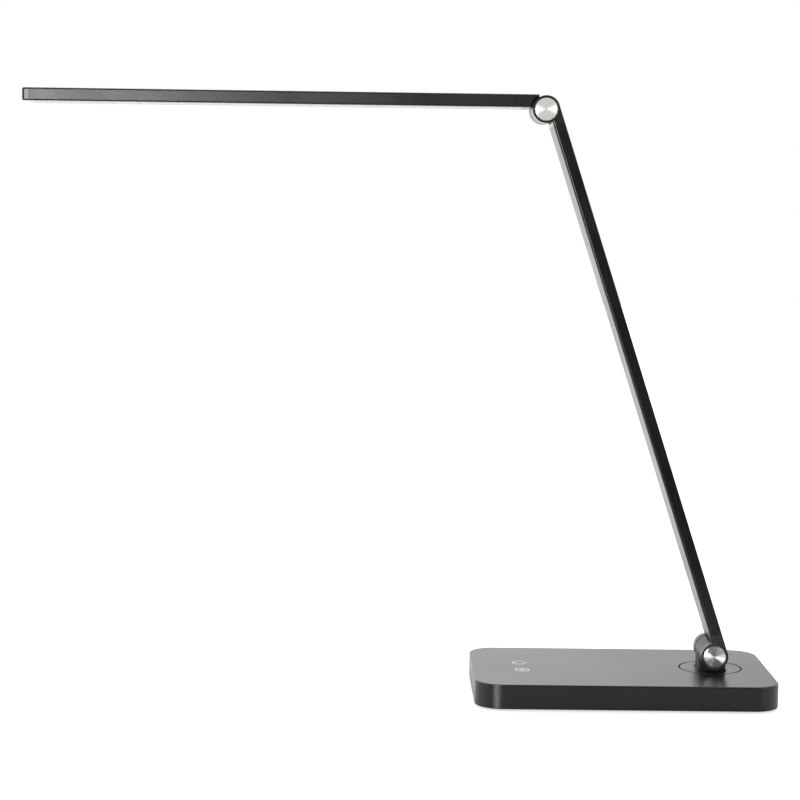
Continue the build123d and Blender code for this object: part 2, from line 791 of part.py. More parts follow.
def head_screws():
    """The two screws through the top of the head into the knuckle's spigot."""
    screw = countersunk_screw(fitting_screw_radius, fitting_screw_head, fitting_screw_length)
    x = -knuckle_fitting - spigot_length / 2
    return Compound(children=[Pos(x, side * fitting_screw_pitch / 2, head_top) * Rot(180, 0, 0) * screw
                              for side in (-1, 1)])


def head_tip_cap():
    """The end cap at the tip of the head, with a spigot in the channel."""
    cap = block(-head_reach, head_end, near_face, far_face, head_low, head_top)
    cap = fillet(cap.edges().filter_by(Axis.Z).group_by(Axis.X)[0], tip_corner_round)
    top_and_bottom = cap.faces().sort_by(Axis.Z)[0].edges() + cap.faces().sort_by(Axis.Z)[-1].edges()
    cap = fillet(top_and_bottom.filter_by(lambda edge: edge.center().X < head_end - slip), head_round)
    cap = chamfer(cap.edges().group_by(Axis.X)[-1], seam_chamfer)
    cap += along_head(rectangle_between(cavity_width / 2 - seat_gap, spigot_low, spigot_high), head_end,
                      head_end + tip_spigot)
    return cap


def diffuser():
    """The milky cover that slides in the head's grooves, stepped so that it lies flush with the lips."""
    section = rectangle_between(cavity_width / 2 + groove_depth - seat_gap, groove_low,
                                groove_low + diffuser_thickness)
    section += rectangle_between(hinge_width / 2 - head_lip_width - seat_gap, head_low, groove_low)
    return along_head(section, head_end + slip, -knuckle_fitting - slip)


def led_places():
    """The places of the LEDs along and across the board."""
    usable = head_board_start - head_board_end
    pitch = usable / led_columns
    return [(head_board_end + pitch * (column + 0.5), led_row_pitch * (row - (led_rows - 1) / 2))
            for column in range(led_columns) for row in range(led_rows)]


def led_board():
    """The aluminium board bonded to the head's roof."""
    return block(head_board_end, head_board_start, -board_width / 2, board_width / 2,
                 head_board_low, cavity_top)


def leds():
    """The LEDs on the board's lower face."""
    led = Box(led_length, led_width, led_height)
    return row_of(led, led_places(), head_board_low - led_height / 2)


def reflector_sheet():
    """The white sheet under the board, with a window for each LED."""
    window = Rectangle(led_length + 2 * seat_gap, led_width + 2 * seat_gap)
    middle = (head_board_end + head_board_start) / 2
    sheet = Pos(middle, 0) * Rectangle(head_board_start - head_board_end, board_width)
    sheet -= [Pos(x, y) * window for x, y in led_places()]
    return Pos(0, 0, head_board_low - reflector_thickness) * extrude(sheet, reflector_thickness)


def head_lead():
    """The lead from the barrel's duct to the end of the LED board."""
    return lengthwise(lead_radius, head_board_start, duct_outlet, 0, duct_offset)


def place_all(place, pieces):
    """Moves a set of named pieces to their place."""
    return {name: place * piece for name, piece in pieces.items()}


def hinge_set(name, place, barrel_place):
    """All the hardware of one hinge. The bushes go with the barrel and the rest with the fork."""
    pieces = place_all(place, {
        f"{name}_axle": hinge_axle(),
        f"{name}_disc_springs": hinge_springs(),
        f"{name}_lock_nut": hinge_nut(),
        f"{name}_friction_washers": friction_washers(),
        f"{name}_near_cap": hinge_cap(-1),
        f"{name}_far_cap": hinge_cap(1),
    })
    pieces |= place_all(barrel_place, {f"{name}_bushes": barrel_bushes()})
    return pieces


def build():
    """Every piece of the lamp, by name."""
    base_screw = countersunk_screw(cover_screw_radius, cover_screw_head, cover_screw_length + plate_thickness)
    ballast_screw = countersunk_screw(ballast_screw_radius, ballast_screw_head, ballast_screw_length)
    board_screw = upright(board_screw_head, -board_screw_cap, 0)
    board_screw += upright(board_screw_radius, 0, board_screw_length)
    thrust, cone, clamp = swivel_stack()
    pieces = {
        "base_shell": base_shell(),
        "base_plate": base_plate(),
        "foot_pad": foot_pad(),
        "ballast_plate": ballast_plate(),
        "base_screws": row_of(base_screw, cover_screws_at, plate_z),
        "ballast_screws": row_of(ballast_screw, ballast_screws_at, plate_z),
        "control_board": control_board(),
        "control_parts": control_parts(),
        "control_screws": row_of(board_screw, control_holes_at, control_bottom),
        "touch_springs": touch_springs(),
        "dc_jack": dc_jack(),
        "jack_pin": jack_pin(),
        "power_lead": power_lead(),
        "lamp_lead": lamp_lead(),
        "swivel_bush": swivel_bush(),
        "swivel_disc": swivel_disc(),
        "hinge_post": hinge_post(),
        "post_lead": post_lead(),
        "thrust_washer": thrust,
        "swivel_spring": cone,
        "swivel_nut": clamp,
    }
    lower = Location((swivel_x, 0, pivot_z))
    pieces |= hinge_set("lower", arm_place, lower)
    pieces |= place_all(arm_place, {
        "lower_fork": fork(lower_fitting),
        "upper_fork": from_upper(fork(upper_fitting)),
        "arm_tube": arm_tube(),
        "arm_cable": arm_cable(),
        "lower_fork_screws": fitting_screws(lower_fitting),
        "upper_fork_screws": from_upper(fitting_screws(upper_fitting)),
    })
    pieces |= hinge_set("upper", arm_place * Location((0, 0, arm_span)), head_place)
    pieces |= place_all(head_place, {
        "head_knuckle": head_knuckle(),
        "head_housing": head_housing(),
        "head_tip_cap": head_tip_cap(),
        "head_screws": head_screws(),
        "diffuser": diffuser(),
        "led_board": led_board(),
        "leds": leds(),
        "reflector_sheet": reflector_sheet(),
        "head_lead": head_lead(),
    })
    return pieces


os.makedirs("parts", exist_ok=True)
for node, piece in build().items():
    export_step(piece, f"parts/{node}.step")
    print(node, round(piece.volume, 1))
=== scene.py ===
"""The looks of the folding desk lamp: finishes, fine pieces, studio and camera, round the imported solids.

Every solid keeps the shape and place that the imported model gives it. This file gives each one its finish,
makes the spun caps, screws, light rows and printed marks, and lights and frames the lamp as the photograph
does. Lengths are in metres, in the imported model's own frame.
"""
import json
import logging
from dataclasses import dataclass, field
from enum import Enum
from functools import cache
from math import atan2, cos, degrees, pi, radians, sin
from typing import ClassVar

import bmesh
import bpy
from mathutils import Matrix, Vector


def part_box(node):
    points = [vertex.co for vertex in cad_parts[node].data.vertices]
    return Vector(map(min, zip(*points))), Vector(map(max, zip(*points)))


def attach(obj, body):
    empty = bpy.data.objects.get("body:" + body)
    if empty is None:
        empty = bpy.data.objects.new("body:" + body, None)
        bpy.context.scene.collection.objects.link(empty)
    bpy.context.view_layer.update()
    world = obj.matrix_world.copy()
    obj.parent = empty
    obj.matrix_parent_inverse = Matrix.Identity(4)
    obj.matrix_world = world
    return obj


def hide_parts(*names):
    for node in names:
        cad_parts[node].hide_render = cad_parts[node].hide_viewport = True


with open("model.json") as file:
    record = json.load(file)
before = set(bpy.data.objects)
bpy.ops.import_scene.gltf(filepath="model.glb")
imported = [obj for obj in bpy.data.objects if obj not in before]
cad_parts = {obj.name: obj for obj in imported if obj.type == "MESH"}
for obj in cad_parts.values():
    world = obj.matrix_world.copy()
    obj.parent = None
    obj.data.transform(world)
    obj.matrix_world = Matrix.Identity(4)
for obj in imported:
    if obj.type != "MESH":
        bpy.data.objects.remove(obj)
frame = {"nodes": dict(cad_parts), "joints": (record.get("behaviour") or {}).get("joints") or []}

log = logging.getLogger("desk_lamp")

Colour = tuple[float, float, float]
Point = tuple[float, float, float]
Range = tuple[float, float]
Ring = list[Vector]
Socket = bpy.types.NodeSocket
Value = float | tuple | Socket

MM = 0.001
# An edge that turns by more than this many degrees stays sharp.
SHARP_EDGE = 30.0
# The photograph's width in pixels, and the camera's sensor in millimetres.
PHOTO_PIXELS = 800
SENSOR_WIDTH = 36.0


def even(value: float) -> Point:
    """The same value on all three axes, or in all three channels of a grey."""
    return (value, value, value)


def joint_place(name: str) -> Point:
    """A point on a joint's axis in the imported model."""
    return tuple(float(v) for joint in frame["joints"] if joint["name"] == name for v in joint["pos_m"])


SWIVEL_PIVOT = joint_place("swivel_turn")
LOWER_PIVOT = joint_place("arm_tilt")
UPPER_PIVOT = joint_place("head_tilt")
PLATE_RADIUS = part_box("swivel_disc")[1].x - SWIVEL_PIVOT[0]
# How far the arm leans from upright, in degrees.
ARM_LEAN = degrees(atan2(LOWER_PIVOT[0] - UPPER_PIVOT[0], UPPER_PIVOT[2] - LOWER_PIVOT[2]))


class Grain(Enum):
    """The size of a surface's fine marks, and their turn about Y in degrees."""

    MOULDED = (even(0.6 * MM), 0.0)
    CAST = (even(1.1 * MM), 0.0)
    SPECKLED = (even(0.9 * MM), 0.0)
    DRAWN_ALONG_ARM = ((0.5 * MM, 0.5 * MM, 30.0 * MM), -ARM_LEAN)

    @property
    def cell(self) -> Point:
        """The size of one mark."""
        return self.value[0]

    @property
    def turn(self) -> float:
        """The turn about Y that lays the marks along the piece, in radians."""
        return radians(self.value[1])


def live(sockets: bpy.types.bpy_prop_collection, name: str) -> Socket:
    """The socket with this name that its node's settings leave in use."""
    return next(socket for socket in sockets if socket.name == name and socket.enabled)


class Tree:
    """A tree of Blender's nodes, with short ways to add and join them."""

    def __init__(self, tree: bpy.types.NodeTree) -> None:
        """Takes one of Blender's trees and empties it."""
        self.tree = tree
        self.tree.nodes.clear()

    def feed(self, socket: Socket, value: Value) -> None:
        """Fills an input.

        Args:
            socket: The input.
            value: An output to join it to, or a plain value to write into it.
        """
        if isinstance(value, Socket):
            self.tree.links.new(value, socket)
        else:
            socket.default_value = value

    def fill(self, node: bpy.types.Node, values: dict[str, Value]) -> None:
        """Fills a node's inputs by name, where an underscore stands for a space."""
        for name, value in values.items():
            self.feed(live(node.inputs, name.replace("_", " ")), value)

    def add(self, kind: str, settings: dict[str, object] | None = None, **values: Value) -> bpy.types.Node:
        """Adds a node and fills its inputs.

        Args:
            kind: Blender's name for the node type.
            settings: Properties of the node, by name.
            values: Plain values or outputs by the input's name, where an underscore stands for a space.

        Returns:
            The new node.
        """
        node = self.tree.nodes.new(kind)
        for name, setting in (settings or {}).items():
            setattr(node, name, setting)
        self.fill(node, values)
        return node

    def step(self, kind: str, output: str, settings: dict[str, object] | None = None,
             **values: Value) -> Socket:
        """Adds a node as add does, and picks one of its outputs by name."""
        return live(self.add(kind, settings, **values).outputs, output)


class Shading(Tree):
    """Nodes that work out the numbers, vectors and colours of a surface or of the surround."""

    def operate(self, kind: str, operation: str, values: tuple[Value, ...]) -> Socket:
        """Adds a node that works something out from its inputs in order.

        Args:
            kind: Blender's name for the node type.
            operation: Blender's name for what it does.
            values: Plain values or outputs for its inputs.

        Returns:
            The result.
        """
        node = self.add(kind, {"operation": operation})
        for socket, value in zip(node.inputs, values):
            self.feed(socket, value)
        return next(socket for socket in node.outputs if socket.enabled)

    def maths(self, operation: str, *numbers: Value) -> Socket:
        """The result of an operation on numbers."""
        return self.operate("ShaderNodeMath", operation, numbers)

    def vector(self, operation: str, *vectors: Value) -> Socket:
        """The result of an operation on vectors, which is a number for a length."""
        return self.operate("ShaderNodeVectorMath", operation, vectors)

    def part(self, vector: Socket, axis: str) -> Socket:
        """One of a vector's three numbers, along X, Y or Z."""
        return self.step("ShaderNodeSeparateXYZ", axis, Vector=vector)

    def span(self, value: Value, band: Range, low: float, high: float, curve: str = "LINEAR") -> Socket:
        """Stretches a number from its own band to the range from low to high, and holds it in there."""
        return self.step("ShaderNodeMapRange", "Result", {"clamp": True, "interpolation_type": curve},
                         Value=value, From_Min=band[0], From_Max=band[1], To_Min=low, To_Max=high)

    def between(self, share: Value, first: Value, second: Value) -> Socket:
        """A number between two others, where a share of 0 gives the first."""
        return self.step("ShaderNodeMix", "Result", {"data_type": "FLOAT"}, Factor=share, A=first, B=second)

    def blend(self, share: Value, first: Colour, second: Colour) -> Socket:
        """A colour between two others, where a share of 0 gives the first."""
        return self.step("ShaderNodeMix", "Result", {"data_type": "RGBA"}, Factor=share,
                         A=(*first, 1.0), B=(*second, 1.0))


class Shader(Shading):
    """One material's nodes, round a principled surface."""

    def __init__(self, name: str) -> None:
        """Starts a material.

        Args:
            name: The material's name.
        """
        self.material = bpy.data.materials.new(name)
        self.material.use_nodes = True
        super().__init__(self.material.node_tree)
        self.surface = self.add("ShaderNodeBsdfPrincipled")
        self.output = self.add("ShaderNodeOutputMaterial", Surface=self.surface.outputs["BSDF"])
        self.object_place = self.step("ShaderNodeTexCoord", "Object")

    def set(self, **values: Value) -> None:
        """Sets the surface's inputs by name, where an underscore stands for a space."""
        self.fill(self.surface, values)

    def place(self, cell: Point = even(1.0), turn: float = 0.0, centre: Point = even(0.0)) -> Socket:
        """The place on the piece from a centre, turned about Y in radians and measured in cells."""
        return self.step("ShaderNodeMapping", "Vector", {"vector_type": "TEXTURE"},
                         Vector=self.object_place, Location=centre, Rotation=(0.0, turn, 0.0), Scale=cell)

    def noise(self, where: Value, detail: float, roughness: float = 0.5) -> Socket:
        """Soft noise from 0 to 1 with one lump to a cell, and finer layers as strong as its roughness."""
        return self.step("ShaderNodeTexNoise", "Fac", Vector=where, Scale=1.0, Detail=detail,
                         Roughness=roughness)

    def pebbles(self, where: Value) -> Socket:
        """The distance from the middle of soft-edged pebbles, one to a cell."""
        return self.step("ShaderNodeTexVoronoi", "Distance", {"feature": "SMOOTH_F1"}, Vector=where,
                         Scale=1.0)

    def bump(self, height: Value, depth: float) -> Socket:
        """The surface's direction, disturbed by a pattern in which a 1 stands this high."""
        return self.step("ShaderNodeBump", "Normal", Height=height, Distance=depth, Strength=1.0)


@dataclass(frozen=True)
class Finish:
    """How one kind of surface looks: its colour and its roughness vary a little, with one pattern."""

    # The part of the pattern's 0 to 1 that most of its values lie in.
    band: ClassVar[Range] = (0.3, 0.7)

    name: str
    colour: Colour = even(0.02)
    light_colour: Colour = even(0.03)
    roughness: float = 0.4
    roughness_spread: float = 0.04

    def tone(self, shader: Shader, pattern: Value) -> Socket:
        """The colour at each place, from the pattern."""
        return shader.blend(shader.span(pattern, self.band, 0.0, 1.0), self.colour, self.light_colour)

    def gloss(self, shader: Shader, pattern: Value) -> Socket:
        """The roughness at each place, from the pattern."""
        low, high = self.roughness - self.roughness_spread, self.roughness + self.roughness_spread
        return shader.span(pattern, self.band, low, high)

    def draw(self, shader: Shader) -> None:
        """Draws the finish in a new material's nodes."""
        raise NotImplementedError


@cache
def material_of(finish: Finish) -> bpy.types.Material:
    """The finish as a material, made the first time it is asked for.

    Args:
        finish: The finish to draw.

    Returns:
        The material, shared by every piece with that finish.
    """
    shader = Shader(finish.name)
    finish.draw(shader)
    return shader.material


@dataclass(frozen=True)
class SatinBlack(Finish):
    """Satin black paint, lacquer or anodising: dark and even, with fine marks in its gloss."""

    band: ClassVar[Range] = (0.35, 0.65)

    colour: Colour = (0.012, 0.012, 0.0118)
    light_colour: Colour = (0.017, 0.017, 0.0165)
    roughness: float = 0.22
    grain: Grain = Grain.MOULDED
    grain_depth: float = 0.004 * MM
    ior: float = 1.5
    cloud: float = 35.0 * MM

    def relief(self, shader: Shader, marks: Value) -> Socket:
        """The height of the surface in metres, from its fine marks."""
        return shader.maths("MULTIPLY", marks, self.grain_depth)

    def draw(self, shader: Shader) -> None:
        """Draws the cloudy dark colour, the wiped gloss and the fine grain.

        Args:
            shader: The new material's nodes.
        """
        marks = shader.noise(shader.place(self.grain.cell, self.grain.turn), detail=3.0)
        clouds = shader.noise(shader.place(even(self.cloud)), detail=1.0)
        mottle = shader.between(0.5, marks, clouds)
        shader.set(
            Base_Color=self.tone(shader, mottle),
            Roughness=self.gloss(shader, mottle),
            Normal=shader.bump(self.relief(shader, marks), 1.0),
            IOR=self.ior,
        )


@dataclass(frozen=True)
class EasedAtSwivel(SatinBlack):
    """Satin black whose edge at the gap round the swivel plate is slightly rounded, and dull."""

    centre: Point = SWIVEL_PIVOT
    gap: float = 0.6 * MM
    ease: float = 0.45 * MM
    ease_depth: float = 0.45 * MM
    edge_roughness: float = 0.95

    def near_gap(self, shader: Shader, at_gap: float, beyond: float) -> Socket:
        """A number that changes evenly over the eased edge.

        Args:
            shader: The material that is drawn.
            at_gap: The number at the gap.
            beyond: The number past the eased edge.

        Returns:
            The number at each place.
        """
        half_gap = self.gap / 2
        flat = shader.vector("MULTIPLY", shader.place(centre=self.centre), (1.0, 1.0, 0.0))
        past_middle = shader.maths("SUBTRACT", shader.vector("LENGTH", flat), PLATE_RADIUS + half_gap)
        away = shader.maths("ABSOLUTE", past_middle)
        return shader.span(away, (half_gap, half_gap + self.ease), at_gap, beyond)

    def relief(self, shader: Shader, marks: Value) -> Socket:
        """The fine marks, and the roll of the surface down into the gap."""
        roll = self.near_gap(shader, 0.0, self.ease_depth)
        return shader.maths("ADD", super().relief(shader, marks), roll)

    def gloss(self, shader: Shader, pattern: Value) -> Socket:
        """The roughness, which rises towards the gap."""
        edge = self.near_gap(shader, self.edge_roughness, 0.0)
        return shader.maths("MAXIMUM", super().gloss(shader, pattern), edge)


@dataclass(frozen=True)
class SpunAluminium(Finish):
    """Bare aluminium turned on a lathe, whose fine circles spread its gloss across them."""

    colour: Colour = (0.78, 0.78, 0.77)
    light_colour: Colour = (0.88, 0.88, 0.87)
    roughness: float = 0.32
    centre: Point = even(0.0)
    # Painted light: a share of the cap made plain diffuse in place of metal, which shows it lighter,
    # standing for the light the cap catches; it is not a finish of its own.
    painted_light_share: float = 0.0
    twist: float = 0.0
    ring_pitch: float = 0.22 * MM
    ring_depth: float = 0.003 * MM

    def draw(self, shader: Shader) -> None:
        """Draws the circles, and the direction from the centre that the gloss spreads along.

        Args:
            shader: The new material's nodes.
        """
        offset = shader.vector("MULTIPLY", shader.place(centre=self.centre), (1.0, 0.0, 1.0))
        turns = shader.maths("DIVIDE", shader.vector("LENGTH", offset), self.ring_pitch)
        outward = shader.step("ShaderNodeCombineXYZ", "Vector", X=turns)
        rings = shader.noise(outward, detail=3.0, roughness=0.7)
        shader.set(
            Base_Color=self.tone(shader, rings),
            # Painted light: the diffuse share lightens the cap.
            Metallic=1.0 - self.painted_light_share,
            Roughness=self.gloss(shader, rings),
            Normal=shader.bump(rings, self.ring_depth),
            Anisotropic=1.0,
            Anisotropic_Rotation=self.twist / 360.0,
            Tangent=shader.vector("NORMALIZE", offset),
        )


@dataclass(frozen=True)
class PlainMetal(Finish):
    """A plated, sintered or rolled metal with fine marks or pores."""

    colour: Colour = (0.58, 0.58, 0.56)
    light_colour: Colour = (0.7, 0.7, 0.68)
    roughness: float = 0.33
    roughness_spread: float = 0.07
    mark: Point = even(0.4 * MM)
    depth: float = 0.01 * MM

    def draw(self, shader: Shader) -> None:
        """Draws the marks in colour, gloss and height.

        Args:
            shader: The new material's nodes.
        """
        marks = shader.noise(shader.place(self.mark), detail=4.0, roughness=0.6)
        shader.set(
            Base_Color=self.tone(shader, marks),
            Metallic=1.0,
            Roughness=self.gloss(shader, marks),
            Normal=shader.bump(marks, self.depth),
        )


@dataclass(frozen=True)
class Moulded(Finish):
    """Moulded plastic or rubber with a fine pebbled grain."""

    band: ClassVar[Range] = (0.1, 0.8)

    roughness: float = 0.45
    roughness_spread: float = 0.05
    pebble: float = 0.5 * MM
    depth: float = 0.02 * MM
    milkiness: float = 0.0
    light_reach: float = 1.0 * MM

    def draw(self, shader: Shader) -> None:
        """Draws the pebbles, and lets a little light in where the plastic is milky.

        Args:
            shader: The new material's nodes.
        """
        pebbles = shader.pebbles(shader.place(even(self.pebble)))
        shader.set(
            Base_Color=self.tone(shader, pebbles),
            Roughness=self.gloss(shader, pebbles),
            Normal=shader.bump(pebbles, self.depth),
            Subsurface_Weight=self.milkiness,
            Subsurface_Scale=self.light_reach,
        )


@dataclass(frozen=True)
class CircuitBoard(Finish):
    """A circuit board: solder mask with slightly raised, lighter tracks under it."""

    band: ClassVar[Range] = (0.0, 1.0)

    colour: Colour = (0.02, 0.12, 0.05)
    light_colour: Colour = (0.04, 0.22, 0.09)
    roughness: float = 0.32
    cell: float = 4.8 * MM
    track_share: float = 0.06
    track_height: float = 0.03 * MM

    def draw(self, shader: Shader) -> None:
        """Draws the tracks as the borders of cells laid like bricks.

        Args:
            shader: The new material's nodes.
        """
        tracks = shader.step("ShaderNodeTexBrick", "Fac", {"offset": 0.5, "squash": 1.0},
                             Vector=shader.place(even(self.cell)), Scale=1.0, Mortar_Size=self.track_share)
        shader.set(
            Base_Color=self.tone(shader, tracks),
            Roughness=self.gloss(shader, tracks),
            Normal=shader.bump(tracks, self.track_height),
        )


SHELL_LACQUER = EasedAtSwivel("shell_lacquer", even(0.004), even(0.006), 0.27, 0.015)
SWIVEL_PAINT = EasedAtSwivel("swivel_paint", even(0.005), even(0.008), 0.27)
CAST_PAINT = SatinBlack("cast_paint", roughness=0.4, grain=Grain.CAST, grain_depth=0.01 * MM, ior=1.38)
ARM_ANODISED = SatinBlack("arm_anodised", even(0.003), even(0.005), 0.3, grain=Grain.DRAWN_ALONG_ARM)
UPPER_FORK_LACQUER = SatinBlack("upper_fork_lacquer", even(0.017), even(0.022), 0.2, grain=Grain.CAST)
LOWER_FORK_LACQUER = SatinBlack("lower_fork_lacquer", even(0.015), even(0.02), 0.36, grain=Grain.CAST)
KNUCKLE_LACQUER = SatinBlack("knuckle_lacquer", even(0.009), even(0.013), 0.29, grain=Grain.CAST)
HEAD_ANODISED = SatinBlack("head_anodised", even(0.004), even(0.009), 0.33, 0.06, Grain.SPECKLED, 0.01 * MM)
TIP_PLASTIC = SatinBlack("tip_plastic", roughness=0.16, roughness_spread=0.02, ior=1.46)
PLATE_PAINT = SatinBlack("plate_paint", roughness=0.5, grain=Grain.CAST)
PAD_RUBBER = Moulded("pad_rubber", even(0.014), even(0.022), 0.75, pebble=0.9 * MM, depth=0.08 * MM)
MILKY_COVER = Moulded("milky_cover", (0.80, 0.80, 0.78), (0.84, 0.84, 0.82), 0.38, pebble=0.7 * MM,
                      depth=0.01 * MM, milkiness=0.3)
WHITE_FILM = Moulded("white_film", (0.86, 0.86, 0.85), (0.9, 0.9, 0.89), 0.5)
WHITE_PLASTIC = Moulded("white_plastic", (0.72, 0.72, 0.7), (0.78, 0.78, 0.76), 0.4)
BLACK_PLASTIC = Moulded("black_plastic", even(0.012), even(0.02), 0.4)
LEAD_SHEATH = Moulded("lead_sheath", roughness=0.5)
MARK_INK = Moulded("mark_ink", (0.64, 0.64, 0.63), (0.70, 0.70, 0.69), pebble=0.3 * MM, depth=0.002 * MM)
LIGHT_PACKAGE = Moulded("light_package", (0.8, 0.8, 0.79), (0.86, 0.86, 0.85), 0.35)
PHOSPHOR = Moulded("phosphor", (0.72, 0.52, 0.10), (0.8, 0.62, 0.16), 0.3, pebble=0.2 * MM)
STEEL = PlainMetal("steel")
BLACKED_STEEL = PlainMetal("blacked_steel", (0.06, 0.06, 0.058), (0.1, 0.1, 0.097), 0.35)
SPRING_STEEL = PlainMetal("spring_steel", even(0.4), even(0.52), 0.29)
BRASS = PlainMetal("brass", (0.6, 0.42, 0.16), (0.72, 0.54, 0.24), 0.26)
SINTERED_BRONZE = PlainMetal("sintered_bronze", (0.3, 0.18, 0.09), (0.46, 0.3, 0.16), 0.46,
                             mark=even(0.2 * MM))
BARE_ALUMINIUM = PlainMetal("bare_aluminium", even(0.66), even(0.76), 0.41,
                            mark=(20.0 * MM, 0.4 * MM, 0.4 * MM))
CONTROL_BOARD = CircuitBoard("control_board_mask")


class Shape:
    """A mesh that is put together from rings of points."""

    def __init__(self) -> None:
        """Starts with nothing in it."""
        self.mesh = bmesh.new()

    def loft(self, rings: list[Ring], closed: bool = False) -> None:
        """Skins a row of rings that all have the same number of points.

        Args:
            rings: The rings in order.
            closed: True joins the last ring to the first, and False closes both ends with a face.
        """
        made = [[self.mesh.verts.new(point) for point in ring] for ring in rings]
        following = made[1:] + made[:1] if closed else made[1:]
        for first, second in zip(made, following):
            count = len(first)
            for i in range(count):
                j = (i + 1) % count
                self.mesh.faces.new((first[i], first[j], second[j], second[i]))
        if not closed:
            self.mesh.faces.new(made[0])
            self.mesh.faces.new(made[-1])

    def piece(self, name: str, finish: Finish, sharp: float = SHARP_EDGE) -> bpy.types.Object:
        """Turns the shape into an object with outward faces.

        Args:
            name: The piece's name.
            finish: Its finish.
            sharp: The angle in degrees from which an edge stays sharp.

        Returns:
            The object, linked into the scene.
        """
        bmesh.ops.recalc_face_normals(self.mesh, faces=self.mesh.faces)
        data = bpy.data.meshes.new(name)
        self.mesh.to_mesh(data)
        self.mesh.free()
        data.materials.append(material_of(finish))
        return smoothed(name, data, sharp)


def linked(name: str, data: bpy.types.ID) -> bpy.types.Object:
    """Links a new object into the scene.

    Args:
        name: Its name.
        data: Its mesh, lamp or camera.

    Returns:
        The object.
    """
    made = bpy.data.objects.new(name, data)
    bpy.context.scene.collection.objects.link(made)
    return made


def smoothed(name: str, data: bpy.types.Mesh, sharp: float = SHARP_EDGE) -> bpy.types.Object:
    """Links a mesh whose faces are smooth up to its sharp edges.

    Args:
        name: The object's name.
        data: The mesh.
        sharp: The angle in degrees from which an edge stays sharp.

    Returns:
        The object.
    """
    data.shade_smooth()
    data.set_sharp_from_angle(angle=radians(sharp))
    return linked(name, data)


def circle_about(centre: Vector, radius: float, across: Vector, up: Vector, count: int) -> Ring:
    """The points of a ring, in the plane of two unit vectors that are square to each other."""
    angles = (2 * pi * i / count for i in range(count))
    return [centre + across * (radius * cos(a)) + up * (radius * sin(a)) for a in angles]


class Repeat(Tree):
    """A geometry node tree that puts copies of things in places, under named inputs."""

    def __init__(self, name: str, inputs: dict[str, str]) -> None:
        """Starts a tree.

        Args:
            name: The tree's name.
            inputs: The type of each named input.
        """
        super().__init__(bpy.data.node_groups.new(name, "GeometryNodeTree"))
        interface = self.tree.interface
        interface.new_socket("Geometry", in_out="INPUT", socket_type="NodeSocketGeometry")
        interface.new_socket("Geometry", in_out="OUTPUT", socket_type="NodeSocketGeometry")
        self.identifiers = {
            key: interface.new_socket(key, in_out="INPUT", socket_type=kind).identifier
            for key, kind in inputs.items()
        }
        self.given = self.add("NodeGroupInput").outputs

    def end(self, geometry: Socket) -> None:
        """Joins the last geometry to the tree's output."""
        self.add("NodeGroupOutput", Geometry=geometry)

    def make(self, name: str, start: bpy.types.Mesh, values: dict[str, object]) -> bpy.types.Object:
        """Runs the tree once and keeps the result as a plain mesh.

        Args:
            name: The new piece's name.
            start: The mesh that the tree starts from.
            values: A value for each named input.

        Returns:
            A piece with no modifier.
        """
        holder = linked(f"{name}_holder", start)
        modifier = holder.modifiers.new("repeat", "NODES")
        modifier.node_group = self.tree
        for key, value in values.items():
            modifier[self.identifiers[key]] = value
        holder.update_tag()
        graph = bpy.context.evaluated_depsgraph_get()
        graph.update()
        data = bpy.data.meshes.new_from_object(holder.evaluated_get(graph), depsgraph=graph)
        data.name = name
        holder.modifiers.remove(modifier)
        bpy.data.objects.remove(holder)
        return smoothed(name, data)


def places_mesh(name: str, places: list[Point]) -> bpy.types.Mesh:
    """Makes a mesh with a lone point at each place.

    Args:
        name: The mesh's name.
        places: The places.

    Returns:
        The mesh.
    """
    data = bpy.data.meshes.new(name)
    data.from_pydata(places, [], [])
    return data


@cache
def screw_tree() -> Repeat:
    """Makes the tree that puts one screw at each point, turned to its own direction.

    Returns:
        The tree, made once.
    """
    tree = Repeat("screws_at_points", {
        "Screw": "NodeSocketObject",
        "Turn": "NodeSocketRotation",
        "Finish": "NodeSocketMaterial",
    })
    given = tree.given
    screw = tree.step("GeometryNodeObjectInfo", "Geometry", Object=given["Screw"])
    copies = tree.step("GeometryNodeInstanceOnPoints", "Instances", Points=given["Geometry"],
                       Instance=screw, Rotation=given["Turn"])
    real = tree.step("GeometryNodeRealizeInstances", "Geometry", Geometry=copies)
    tree.end(tree.step("GeometryNodeSetMaterial", "Geometry", Geometry=real, Material=given["Finish"]))
    return tree


